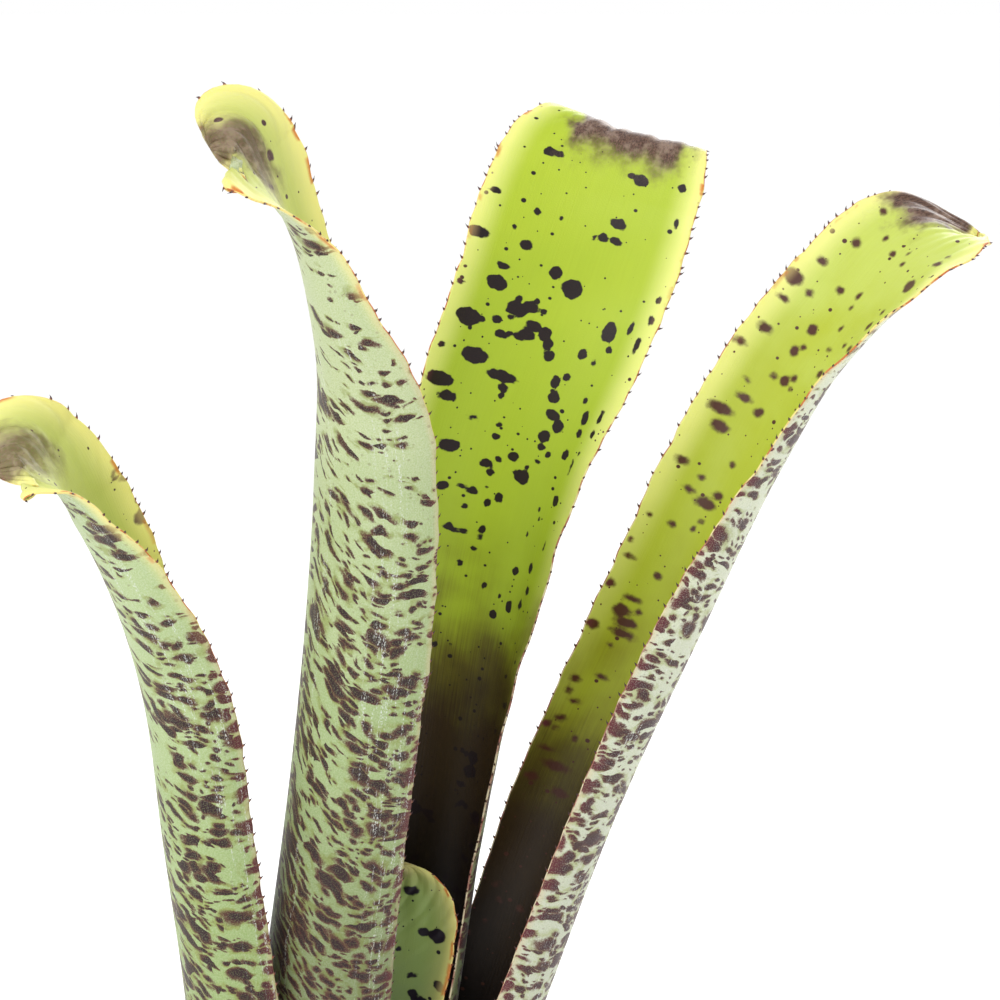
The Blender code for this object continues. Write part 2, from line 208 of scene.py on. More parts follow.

# The spots that stand out on the two inner faces seen from the front, read from the photograph
# and listed from the tip down: across and along, and the half width and half height, all in mm.
CHOSEN_SPOTS = {
    "leaf_back": (
        (-12, 417, 2.4, 1.8), (-9, 417.5, 1.4, 1.1), (16.5, 417.5, 2.2, 1.5), (13.5, 417.5, 1.4, 1.1),
        (-24.5, 418, 1.5, 1.3), (-26.5, 408, 0.8, 1.4), (-10, 403, 2.6, 1.7), (28, 401, 2.2, 0.9),
        (6.5, 399.5, 0.8, 0.8), (14, 399, 1.3, 1.2), (-7, 398, 1.8, 1.3), (-11, 398, 2.2, 1.2),
        (-4.4, 397, 0.8, 0.8), (19, 393, 0.8, 0.7), (14, 389, 2.0, 1.6), (29, 388.5, 3.4, 1.7),
        (-29, 386, 0.9, 1.3), (3, 384, 2.1, 2.0), (-3, 381, 3.3, 2.9), (19, 381, 2.2, 1.1),
        (-29, 380, 1.1, 2.2), (-24, 376, 1.0, 1.7), (19, 375.5, 3.3, 2.4), (-18, 373, 2.4, 3.0),
        (11, 373, 1.2, 1.1), (5.5, 374, 1.0, 1.0), (30, 372, 1.6, 1.0), (7, 372, 2.6, 1.8),
        (-28, 372, 1.0, 2.3), (10.5, 370, 3.5, 2.4), (2.7, 372, 1.1, 1.0), (-20, 368.5, 1.1, 1.2),
        (4, 367, 3.0, 1.6), (11.5, 367, 1.1, 0.9), (0, 366, 2.0, 2.4), (15, 365, 1.6, 1.4),
        (-13, 364.5, 1.5, 1.8), (5, 364, 2.6, 1.7), (24, 363, 4.2, 2.7), (19.5, 363.5, 1.3, 1.0),
        (-2, 363.5, 1.7, 1.8), (-17, 363.5, 0.8, 1.2), (7, 362.5, 1.7, 1.3), (10, 362.5, 1.1, 0.9),
        (12, 361.5, 2.3, 1.3), (-3.5, 360.5, 1.7, 1.7), (22, 360, 0.9, 0.8), (-11, 356.5, 1.5, 1.4),
        (-8, 354, 1.5, 1.9), (17.5, 353, 4.2, 2.5), (29, 353, 1.4, 0.9), (-19.5, 352.5, 0.9, 1.2),
        (-27, 350, 0.8, 2.5), (-9.5, 350, 1.9, 2.0), (7.5, 350, 5.0, 1.8), (-22, 347.8, 1.3, 2.3),
        (6, 347, 1.7, 1.1), (26, 344, 5.0, 2.2), (5.5, 344.5, 1.1, 1.0), (-11.3, 344.7, 2.3, 1.9),
        (-27.3, 344.5, 0.8, 1.8), (-22.2, 343, 1.1, 1.5), (-14.2, 341.9, 2.0, 2.0), (22, 340, 3.3, 1.5),
        (-11, 337.8, 2.2, 1.9), (-25.5, 337, 0.5, 1.0), (3.6, 336.6, 1.1, 0.9), (11.7, 336, 2.1, 0.9),
        (-20.4, 335, 1.4, 1.9), (-11.2, 334.3, 1.5, 1.2), (3.1, 332.8, 1.4, 1.0), (-14.3, 332.6, 1.1, 1.1),
        (-24.3, 332, 0.5, 2.0), (-11.4, 329.6, 1.3, 0.7), (-3.6, 328.6, 2.0, 1.4), (-8.6, 327, 0.8, 1.1),
        (16.4, 327, 3.7, 2.0), (0.7, 326.5, 1.2, 0.9), (3.9, 324.6, 2.3, 1.3), (-5.6, 324.4, 1.6, 0.7),
        (-8, 323.6, 2.6, 2.2), (1.9, 322.3, 1.4, 1.3), (-22.9, 320.4, 1.4, 2.0), (2, 317.4, 0.8, 0.5),
        (-17, 316, 0.5, 0.8), (9, 316.3, 2.0, 0.6), (6, 315.6, 1.9, 1.4), (-2.5, 315.4, 1.4, 1.6),
        (15.2, 315.2, 1.9, 1.4), (-18, 313.6, 0.5, 0.8), (0.5, 313.3, 1.2, 1.3), (7.3, 310.6, 1.3, 0.8),
        (-14.9, 307.4, 0.5, 1.3), (-23.8, 306, 0.7, 1.8), (0.3, 305, 1.2, 1.4), (10.5, 303.9, 1.8, 1.2),
        (7.2, 303.2, 4.0, 0.8), (0.2, 302.2, 1.1, 0.7), (1.8, 299, 1.2, 0.8), (-19.8, 298.6, 1.0, 1.8),
        (-13.8, 296, 1.3, 1.3), (5, 293.7, 1.1, 1.1), (-21.2, 291.8, 0.9, 2.1), (-3.9, 288.7, 1.0, 1.2),
        (-10, 287.2, 0.6, 1.1), (-19.3, 286.8, 0.7, 1.9), (-14.5, 285, 1.4, 1.8), (-9, 281, 1.5, 1.4),
    ),
    "leaf_right": (
        (19.5, 421.5, 1.5, 1.1), (-18, 420, 1.6, 1.0), (-18, 416.5, 2.2, 1.1), (11.8, 416, 1.2, 1.1),
        (-0.6, 415.9, 0.9, 1.1), (4.9, 413.4, 1.3, 1.2), (-2.2, 412.4, 1.1, 1.2), (17.5, 410, 1.8, 1.5),
        (-15, 407.5, 3.0, 2.4), (22.3, 400.3, 2.1, 1.4), (4.6, 398, 1.2, 1.4), (-12.5, 397.5, 1.2, 1.2),
        (11.5, 396.2, 1.6, 1.4), (4, 394, 0.8, 0.8), (-11.5, 392, 1.6, 1.6), (26, 391.3, 3.5, 2.5),
        (19, 390.2, 1.6, 1.2), (1.6, 387.3, 1.0, 1.3), (24.5, 384.8, 2.4, 1.0), (-6, 384, 1.1, 1.2),
        (-11, 384, 1.6, 1.4), (10.6, 382.4, 2.0, 1.9), (-15, 381, 1.2, 0.8), (-0.4, 380.4, 1.4, 0.8),
        (9.5, 377, 1.2, 1.1), (23.5, 375.6, 2.7, 1.4), (11.6, 374.7, 1.9, 1.6), (-3.5, 373.2, 1.6, 1.4),
        (27.5, 369.5, 2.4, 1.2), (6, 368.2, 1.6, 1.3), (8.5, 366.3, 2.0, 1.7), (12.7, 366, 1.6, 1.1),
        (5, 365.3, 1.1, 0.9), (19.5, 361.5, 1.5, 0.8), (17.7, 356.8, 2.8, 1.4), (11.2, 355, 2.0, 1.5),
        (22.5, 351, 4.6, 1.8), (20.2, 346.3, 3.4, 1.8), (10.7, 338.3, 1.2, 1.0), (25.4, 333.4, 2.6, 1.3),
        (18, 331.4, 1.3, 1.0), (10.6, 328.6, 2.1, 1.4), (19.8, 326.8, 2.4, 1.2), (13.3, 325.2, 4.0, 1.8),
        (12.4, 319.8, 1.3, 0.9), (13.5, 317, 0.9, 0.9), (20, 315.7, 1.7, 1.1), (27.5, 315.7, 1.2, 0.9),
        (30, 307, 1.2, 1.0), (27.8, 302, 2.4, 1.0), (17.4, 300, 1.5, 1.4), (30, 292.5, 2.0, 1.4),
        (21.5, 290.3, 3.0, 1.2), (18, 287.5, 1.2, 1.2), (22.9, 285.9, 3.3, 2.1), (20.3, 283.1, 4.4, 1.6),
        (19.5, 279.6, 4.4, 1.6), (29.8, 279, 2.8, 1.7), (21.5, 275, 1.2, 0.8), (19.5, 265.2, 2.3, 1.1),
        (27, 262, 2.4, 1.3), (27.6, 258.2, 1.8, 1.2), (24.2, 255.7, 2.4, 1.0), (26, 249.8, 2.2, 1.2),
        (30, 247, 2.2, 1.3), (26, 246.5, 1.6, 0.9), (19, 245.5, 1.2, 1.0), (26, 240, 3.0, 0.9),
        (21, 236, 5.0, 1.6), (27, 231, 2.4, 1.4), (17, 229, 3.0, 1.5),
    ),
}

# Face colours on screen: the inner face's ground low down, half way and at the tip, the painted glow of
# light through its margin, and its spots; the outer face's ground low down and at the tip, its olive
# patches and its blotches.
GREEN_INNER = ((142, 157, 30), (168, 190, 46), (174, 194, 48), (224, 228, 134), (14, 4, 8))
PALE_INNER = ((156, 160, 28), (178, 190, 54), (194, 208, 98), (230, 230, 144), (80, 44, 30))
FLAP_INNER = ((150, 158, 40), (184, 194, 84), (198, 206, 116), (228, 224, 140), (84, 60, 58))
# Painted shade: the young leaf's inner greens are darker, for its place deep in the rosette's heart.
SHADED_YOUNG_INNER = ((122, 142, 88), (138, 160, 100), (146, 168, 92), (170, 172, 104), (14, 14, 28))
OLD_INNER = ((112, 106, 44), (126, 118, 52), (140, 130, 60), (170, 150, 84), (52, 30, 28))
GREEN_OUTER = ((148, 166, 112), (184, 194, 150), (128, 134, 52), (44, 20, 28))
WARM_OUTER = ((146, 166, 106), (172, 188, 138), (134, 138, 60), (44, 20, 28))
PALE_OUTER = ((194, 198, 178), (210, 213, 190), (158, 164, 98), (60, 32, 40))
# Painted shade: the young leaf's outer colours are darker, for its place deep in the rosette's heart.
SHADED_YOUNG_OUTER = ((112, 136, 82), (130, 152, 96), (96, 118, 60), (30, 26, 38))
OLD_OUTER = ((132, 134, 92), (150, 146, 100), (120, 118, 62), (76, 50, 46))
COLOURS = {
    "leaf_front": (FLAP_INNER, GREEN_OUTER),
    "leaf_left": (FLAP_INNER, WARM_OUTER),
    "leaf_back": (GREEN_INNER, GREEN_OUTER),
    "leaf_right": (PALE_INNER, PALE_OUTER),
    "leaf_young": (SHADED_YOUNG_INNER, SHADED_YOUNG_OUTER),
    "basal_leaf_front": (OLD_INNER, OLD_OUTER),
    "basal_leaf_left": (OLD_INNER, OLD_OUTER),
}


def srgb(red, green, blue):
    """A screen colour, 0 to 255, as linear light."""
    shares = [channel / 255 for channel in (red, green, blue)]
    return tuple(s / 12.92 if s <= 0.04045 else ((s + 0.055) / 1.055) ** 2.4 for s in shares)


class Graph:
    """A material's nodes, each made in one call that returns its output socket."""

    def __init__(self, name, roughness=0.5):
        self.material = bpy.data.materials.new(name)
        self.material.use_nodes = True
        self.tree = self.material.node_tree
        self.shader = self.tree.nodes["Principled BSDF"]
        self.set("Roughness", roughness)

    def put(self, socket, value):
        if isinstance(value, bpy.types.NodeSocket):
            self.tree.links.new(value, socket)
        elif socket.type == "RGBA" and len(value) == 3:
            socket.default_value = (*value, 1.0)
        else:
            socket.default_value = value

    def set(self, name, value):
        self.put(self.shader.inputs[name], value)

    def node(self, kind, **settings):
        made = self.tree.nodes.new("ShaderNode" + kind)
        for key, value in settings.items():
            setattr(made, key, value)
        return made

    def attribute(self, name, output="Vector"):
        return self.node("Attribute", attribute_name=name).outputs[output]

    def split(self, vector):
        made = self.node("SeparateXYZ")
        self.put(made.inputs[0], vector)
        return made.outputs

    def math(self, operation, first, second=0.0, third=0.0):
        made = self.node("Math", operation=operation)
        for socket, value in zip(made.inputs, (first, second, third)):
            self.put(socket, value)
        return made.outputs[0]

    def vector(self, operation, first, second):
        made = self.node("VectorMath", operation=operation)
        self.put(made.inputs[0], first)
        self.put(made.inputs[1], second)
        return made.outputs[0]

    def ease(self, value, start, end, low=0.0, high=1.0):
        """Goes smoothly from low, where value is start, to high, where it is end."""
        made = self.node("MapRange", interpolation_type="SMOOTHSTEP")
        for socket, setting in zip(made.inputs, (value, start, end, low, high)):
            self.put(socket, setting)
        return made.outputs[0]

    def noise(self, vector, scale, detail=2.0, roughness=0.5, dimensions="2D", output=0):
        made = self.node("TexNoise", noise_dimensions=dimensions)
        self.put(made.inputs["Vector"], vector)
        self.put(made.inputs["Scale"], scale)
        self.put(made.inputs["Detail"], detail)
        self.put(made.inputs["Roughness"], roughness)
        return made.outputs[output]

    def cells(self, vector):
        """The distance to the nearest cell's centre and two random numbers for that cell."""
        made = self.node("TexVoronoi", voronoi_dimensions="2D")
        self.put(made.inputs["Vector"], vector)
        self.put(made.inputs["Scale"], 1.0)
        colour = self.node("SeparateColor")
        self.put(colour.inputs[0], made.outputs["Color"])
        return made.outputs["Distance"], colour.outputs[0], colour.outputs[1]

    def swing(self, value, size):
        """A noise value of 0 to 1 as an offset of about half of size either way."""
        return self.math("MULTIPLY", self.math("SUBTRACT", value, 0.5), size)

    def mix(self, share, first, second):
        made = self.node("Mix", data_type="RGBA")
        self.put(made.inputs[0], share)
        self.put(made.inputs[6], first)
        self.put(made.inputs[7], second)
        return made.outputs[2]

    def spot_field(self, vector, width, height, density, radius, seed):
        """How far outside a spot of random size each point is, in cells; density is the share with one."""
        moved = self.vector("ADD", vector, (seed * 37.0, seed * 91.0, 0.0))
        stretched = self.vector("MULTIPLY", moved, (1 / width, 1 / height, 0.0))
        distance, chance, luck = self.cells(stretched)
        present = self.ease(self.math("SUBTRACT", self.math("ADD", chance, density), 1.0), -0.04, 0.04)
        size = self.math("MULTIPLY_ADD", luck, radius[1] - radius[0], radius[0])
        size = self.math("SUBTRACT", self.math("MULTIPLY", present, self.math("ADD", size, 0.6)), 0.6)
        return self.math("SUBTRACT", distance, size)

    def spots(self, vector, width, height, density, radius, soft, seed):
        """How far inside such a spot each point is, from 0 to 1."""
        return self.ease(self.spot_field(vector, width, height, density, radius, seed), soft, -soft)

    def bump(self, height, strength, distance):
        made = self.node("Bump")
        self.put(made.inputs["Height"], height)
        self.put(made.inputs["Strength"], strength)
        self.put(made.inputs["Distance"], distance)
        self.set("Normal", made.outputs[0])


def through(knots, values, at):
    """A smooth curve through the values at the knots, read off at each place in at."""
    values = np.asarray(values, float)
    width = np.diff(knots)
    rise = (np.diff(values, axis=0).T / width).T
    slope = np.empty_like(values)
    slope[0] = rise[0]
    slope[-1] = rise[-1]
    slope[1:-1] = ((rise[:-1].T * width[1:] + rise[1:].T * width[:-1]) / (width[:-1] + width[1:])).T
    index = np.clip(np.searchsorted(knots, at, side="right") - 1, 0, len(width) - 1)
    span = width[index]
    t = (at - knots[index]) / span
    if values.ndim == 2:
        span = span[:, None]
        t = t[:, None]
    start = (1 + 2 * t) * (1 - t) ** 2 * values[index] + t * (1 - t) ** 2 * span * slope[index]
    end = t * t * (3 - 2 * t) * values[index + 1] + t * t * (t - 1) * span * slope[index + 1]
    return start + end


class LeafShape:
    """A leaf's middle surface, as a grid of points from base to tip and from left to right."""

    def __init__(self, facing, stations):
        table = np.array(stations, float)
        places = table[:, :3] * MM
        knots = np.concatenate([[0], np.cumsum(np.linalg.norm(np.diff(places, axis=0), axis=1))])
        fine = np.linspace(0, knots[-1], FINE_STEPS + 1)
        midrib = through(knots, places, fine)
        arc = np.concatenate([[0], np.cumsum(np.linalg.norm(np.diff(midrib, axis=0), axis=1))])
        along = np.gradient(midrib, axis=0)
        along /= np.linalg.norm(along, axis=1)[:, None]
        angle = np.radians(facing)
        sideways = np.array([-np.sin(angle), np.cos(angle), 0.0])
        across = sideways - (along @ sideways)[:, None] * along
        across /= np.linalg.norm(across, axis=1)[:, None]
        inward = np.cross(along, across)
        roll = np.radians(through(knots, table[:, 4], fine))[:, None]
        across, inward = (
            np.cos(roll) * across + np.sin(roll) * inward,
            np.cos(roll) * inward - np.sin(roll) * across,
        )
        full = through(knots, table[:, 3] * MM, fine)
        near_tip = np.clip((arc - arc[-1] + full[-1]) / full[-1], 0, 1)
        half = full * (1 - near_tip ** TIP_SHARPNESS) ** (1 / TIP_SHARPNESS)
        mucro = MUCRO_HALF_WIDTH * np.clip((arc[-1] - arc) / MUCRO_LENGTH, 0, 1) + POINT_HALF_WIDTH
        half = np.maximum(half, mucro)
        left = np.radians(through(knots, table[:, 5], fine)) * half / full
        right = np.radians(through(knots, table[:, 6], fine)) * half / full
        self.length = arc[-1]
        self.width = 2 * half.max()
        self.arc = arc
        self.fine = (midrib, across, inward, half, left, right)

    def grid(self, rows, columns):
        """The points, how far each row is along, and each row's half width."""
        wanted = (1 - (1 - np.linspace(0, 1, rows)) ** ROW_CROWDING) * self.length

        def sample(values):
            if values.ndim == 1:
                return np.interp(wanted, self.arc, values)
            return np.stack([np.interp(wanted, self.arc, values[:, k]) for k in range(3)], axis=1)

        midrib, across, inward, half, left, right = map(sample, self.fine)
        points = np.empty((rows, columns, 3))
        for column, v in enumerate(np.linspace(-1, 1, columns)):
            curl = left if v < 0 else right
            curl = np.where(np.abs(curl) < 1e-4, 1e-4, curl)
            out = np.sign(v) * half / curl * np.sin(curl * abs(v))
            up = half / curl * (1 - np.cos(curl * abs(v)))
            points[:, column] = midrib + out[:, None] * across + up[:, None] * inward
        return points, wanted, half


def unit(vectors):
    return vectors / np.maximum(np.linalg.norm(vectors, axis=-1, keepdims=True), 1e-12)


def ripple(rng, length, wave, places):
    """Smooth noise of about one wavelength, between -1 and 1, at places along a length; the length is not
    used.
    """
    total = np.zeros_like(places)
    for octave in (0.6, 1.0, 1.7):
        total += np.sin(2 * np.pi * places / (wave * octave) + rng.uniform(0, 2 * np.pi))
    return total / 3


def scattered_spots(rng, count, length, half_width, reach):
    """Spots on an inner face, some in short chains: across, along, and the two radii, in mm."""
    made = []
    while len(made) < count:
        along = length * (0.12 + (reach - 0.12) * rng.uniform() ** 0.8)
        across = half_width * rng.uniform(-0.98, 0.98)
        size = 0.6 + rng.uniform() * 0.5 + rng.uniform() ** 4 * 1.7
        chain = 1 if rng.uniform() < 0.7 else rng.integers(2, 5)
        heading = rng.uniform(-0.9, 0.9)
        for _ in range(chain):
            made.append((across, along, size * rng.uniform(1.0, 1.7), size * rng.uniform(0.8, 1.05)))
            step = size * rng.uniform(1.2, 1.9)
            across += step * math.cos(heading)
            along += step * math.sin(heading)
            heading += rng.uniform(-1.2, 1.2)
            size *= rng.uniform(0.6, 1.0)
    return made


def spot_distance(across, along, spots):
    """How far each point is outside its nearest spot, in mm; negative inside one."""
    nearest = np.full(across.shape, FAR_FROM_SPOTS)
    for x, y, wide, tall in spots:
        near = np.abs(across - x) < wide + FAR_FROM_SPOTS
        near &= np.abs(along - y) < tall + FAR_FROM_SPOTS
        radius = np.hypot((across[near] - x) / wide, (along[near] - y) / tall)
        nearest[near] = np.minimum(nearest[near], (radius - 1) * min(wide, tall))
    return nearest


class MeshParts:
    """Collects points, faces, material numbers and point attributes for one mesh."""

    def __init__(self):
        self.points, self.faces, self.slots, self.layers = [], [], [], {}
        self.count = 0

    def add(self, points, faces, slot, **layers):
        self.points.append(np.reshape(points, (-1, 3)))
        added = len(self.points[-1])
        for face_group in faces:
            self.faces.append(np.asarray(face_group) + self.count)
            self.slots.append(np.full(len(face_group), slot))
        for name, values in layers.items():
            self.layers.setdefault(name, []).append(np.asarray(values, float).reshape(added, -1))
        self.count += added

    def build(self, name, materials):
        mesh = bpy.data.meshes.new(name)
        faces = [face for group in self.faces for face in group.tolist()]
        mesh.from_pydata(np.concatenate(self.points).tolist(), [], faces)
        for layer, values in self.layers.items():
            values = np.concatenate(values)
            kind, field = ("FLOAT", "value") if values.shape[1] == 1 else ("FLOAT_VECTOR", "vector")
            attribute = mesh.attributes.new(layer, kind, "POINT")
            attribute.data.foreach_set(field, values.astype(np.float32).ravel())
        for material in materials:
            mesh.materials.append(material)
        mesh.polygons.foreach_set("material_index", np.concatenate(self.slots).astype(np.int32))
        mesh.polygons.foreach_set("use_smooth", np.ones(len(mesh.polygons), bool))
        mesh.update()
        piece = bpy.data.objects.new(name, mesh)
        bpy.context.scene.collection.objects.link(piece)
        return piece


def grid_faces(rows, columns, flip=False):
    index = np.arange(rows * columns).reshape(rows, columns)
    corners = [index[:-1, :-1], index[:-1, 1:], index[1:, 1:], index[1:, :-1]]
    if flip:
        corners.reverse()
    return np.stack([corner.ravel() for corner in corners], axis=1)


def add_spines(parts, rng, edge, outward, along, normal, distance, length):
    """Small hooked spines in a row down one margin."""
    place = rng.uniform(*SPINE_SPACING)
    start = 0.22 * length
    while place < length - 3 * MM:
        share = np.clip((place - start) / (0.3 * length), 0, 1)
        if place > start:
            row = np.searchsorted(distance, place)
            size = rng.uniform(*SPINE_LENGTH) * (0.55 + 0.45 * share)
            hook = rng.uniform(0.3, 0.75)
            base = edge[row] - outward[row] * 0.35 * MM
            rings = []
            for t in SPINE_RINGS:
                centre = base + outward[row] * size * t * (1 - 0.25 * t) + along[row] * size * hook * t * t
                radius = SPINE_RADIUS * (1 - t) ** 0.8 * (0.7 + 0.3 * share)
                for side in range(SPINE_SIDES):
                    turn = 2 * math.pi * side / SPINE_SIDES
                    rings.append(
                        centre
                        + along[row] * radius * 1.25 * math.cos(turn)
                        + normal[row] * radius * 0.7 * math.sin(turn)
                    )
            rings.append(base + outward[row] * size * 0.8 + along[row] * size * hook)
            sides = []
            for ring in range(len(SPINE_RINGS) - 1):
                for side in range(SPINE_SIDES):
                    here, there = ring * SPINE_SIDES + side, ring * SPINE_SIDES + (side + 1) % SPINE_SIDES
                    sides.append((here, there, there + SPINE_SIDES, here + SPINE_SIDES))
            last = (len(SPINE_RINGS) - 1) * SPINE_SIDES
            tip = last + SPINE_SIDES
            point = [(last + s, last + (s + 1) % SPINE_SIDES, tip) for s in range(SPINE_SIDES)]
            foot = [tuple(reversed(range(SPINE_SIDES)))]
            reach = np.repeat(SPINE_RINGS, SPINE_SIDES).tolist() + [1.0]
            count = len(reach)
            parts.add(
                rings, [sides, point, foot], 2,
                leaf_mm=np.tile([0, place / MM, 0], (count, 1)),
                leaf_state=np.tile([0, (length - place) / MM, place / length], (count, 1)),
                spots=np.full(count, FAR_FROM_SPOTS), spine=reach,
            )
        crowd = 0.75 if length - place < 60 * MM else 1.0
        place += rng.uniform(*SPINE_SPACING) * crowd


def make_leaf(name, facing, stations, look, materials):
    rng = np.random.default_rng(look["seed"])
    shape = LeafShape(facing, stations)
    cell = 2 * CELL if look["old"] else CELL
    rows, columns = int(shape.length / cell), int(shape.width / cell) | 1
    grid, distance, half = shape.grid(rows, columns)
    v = np.linspace(-1, 1, columns)[None, :]
    share = (distance / shape.length)[:, None]

    across = unit(np.gradient(grid, axis=1))
    normal = unit(np.cross(unit(np.gradient(grid, axis=0)), across))
    for sign in (-1, 1):
        near = np.clip(sign * v, 0, 1) ** 5
        lift = ripple(rng, shape.length, 34 * MM, distance)[:, None] * 0.7 * MM
        spread = ripple(rng, shape.length, 13 * MM, distance)[:, None] * 0.35 * MM
        grow = np.clip(share * 3 - 1, 0, 1) * np.clip(half / (8 * MM), 0, 1)[:, None]
        grid = grid + normal * (lift * near * grow)[..., None]
        grid = grid + across * (sign * spread * near * grow)[..., None]

    left_over = (shape.length - distance) / MM
    crumple = np.exp(-(left_over / 22) ** 2)[:, None] * np.clip(half / (6 * MM), 0, 1)[:, None]
    wrinkles = ripple(rng, 2.0, 0.55, v) * 0.5 + ripple(rng, 2.0, 0.3, v + share * 9) * 0.5
    droop = look["droop"] * np.exp(-(left_over / 9) ** 2)[:, None] * np.exp(-(v / 0.5) ** 2)
    grid = grid + normal * ((1.1 * wrinkles * crumple - droop) * MM)[..., None]
    across = unit(np.gradient(grid, axis=1))
    normal = unit(np.cross(unit(np.gradient(grid, axis=0)), across))

    thick = LEAF_THICKNESS * (1 - (1 - EDGE_THICKNESS) * np.abs(v) ** 4) * np.ones_like(share)
    thick *= np.clip(half / (3 * MM), 0.35, 1)[:, None]
    inner = grid + normal * (thick / 2)[..., None]
    outer = grid - normal * (thick / 2)[..., None]

    x = v * half[:, None] / MM * np.ones_like(share)
    y = distance[:, None] / MM * np.ones_like(v)
    margin = (1 - np.abs(v)) * half[:, None] / MM
    from_tip = (shape.length - distance)[:, None] / MM * np.ones_like(v)
    margin = np.minimum(margin, from_tip)
    leaf_mm = np.stack([x, y, np.zeros_like(x)], axis=-1).reshape(-1, 3)
    leaf_state = np.stack([margin, from_tip, share * np.ones_like(v)], axis=-1).reshape(-1, 3)
    spots = scattered_spots(rng, look["spots"], shape.length / MM, half.max() / MM, look["reach"])
    spots += CHOSEN_SPOTS.get(name, ())
    away = spot_distance(x, y, spots).ravel()
    layers = dict(leaf_mm=leaf_mm, leaf_state=leaf_state, spots=away, spine=np.zeros(rows * columns))

    parts = MeshParts()
    parts.add(inner, [grid_faces(rows, columns, flip=True)], 0, **layers)
    parts.add(outer, [grid_faces(rows, columns)], 1, **layers)
    size = rows * columns
    index = np.arange(size).reshape(rows, columns)
    ends = np.concatenate([
        np.stack([index[0, :-1], index[0, 1:], index[0, 1:] + size, index[0, :-1] + size], axis=1),
        np.stack([index[-1, 1:], index[-1, :-1], index[-1, :-1] + size, index[-1, 1:] + size], axis=1),
    ])
    parts.faces.append(ends)
    parts.slots.append(np.full(len(ends), 2))
    for column, sign in ((0, -1), (columns - 1, 1)):
        outward = sign * across[:, column]
        ridge = grid[:, column] + outward * 0.22 * MM
        first = parts.count
        edge = index[:, column]
        where = first + np.arange(rows)
        strips = []
        for a, b in ((edge, where), (where, edge + size)):
            quad = [a[:-1], b[:-1], b[1:], a[1:]]
            strips.append(np.stack(quad if sign > 0 else quad[::-1], axis=1))
        parts.add(
            ridge, [], 2, leaf_mm=leaf_mm[edge], leaf_state=leaf_state[edge],
            spots=np.full(rows, FAR_FROM_SPOTS), spine=np.zeros(rows),
        )
        for strip in strips:
            parts.faces.append(strip[:, ::-1])
            parts.slots.append(np.full(len(strip), 2))
        along = unit(np.gradient(grid[:, column], axis=0))
        add_spines(parts, rng, ridge, outward, along, normal[:, column], distance, shape.length)
    piece = parts.build(name + "_blade", materials)
    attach(piece, "root")
    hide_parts(name)
    return piece


def husk_share(g, look, place, from_tip):
    """How dead and dry the face is: near the tip, in an uneven patch about the look's husk line."""
    centre, half_width = look["patch"]
    wander = g.swing(g.noise(place, 0.11, 3.0, 0.55), 14.0)
    near_tip = g.ease(g.math("ADD", from_tip, wander), *look["husk"])
    aside = g.math("ABSOLUTE", g.math("SUBTRACT", g.split(place)[0], centre))
    inside = g.ease(g.math("ADD", aside, wander), half_width + 5, half_width - 5)
    return g.math("MULTIPLY", g.math("MULTIPLY", near_tip, inside), look["dying"])


def add_rim(g, ground, place, margin, from_tip):
    """Lemon edges towards the tip, with orange patches right at the margin."""
    tipward = g.ease(from_tip, 85.0, 15.0)
    lemon = g.math("MULTIPLY", g.ease(margin, 4.0, 0.2, 0.0, 0.65), tipward)
    ground = g.mix(lemon, ground, srgb(234, 226, 138))
    patch = g.ease(g.noise(place, 0.13, 3.0), 0.54, 0.64)
    orange = g.math("MULTIPLY", g.ease(margin, 1.5, 0.3), g.math("MULTIPLY", patch, tipward))
    return g.mix(orange, ground, srgb(204, 124, 52))


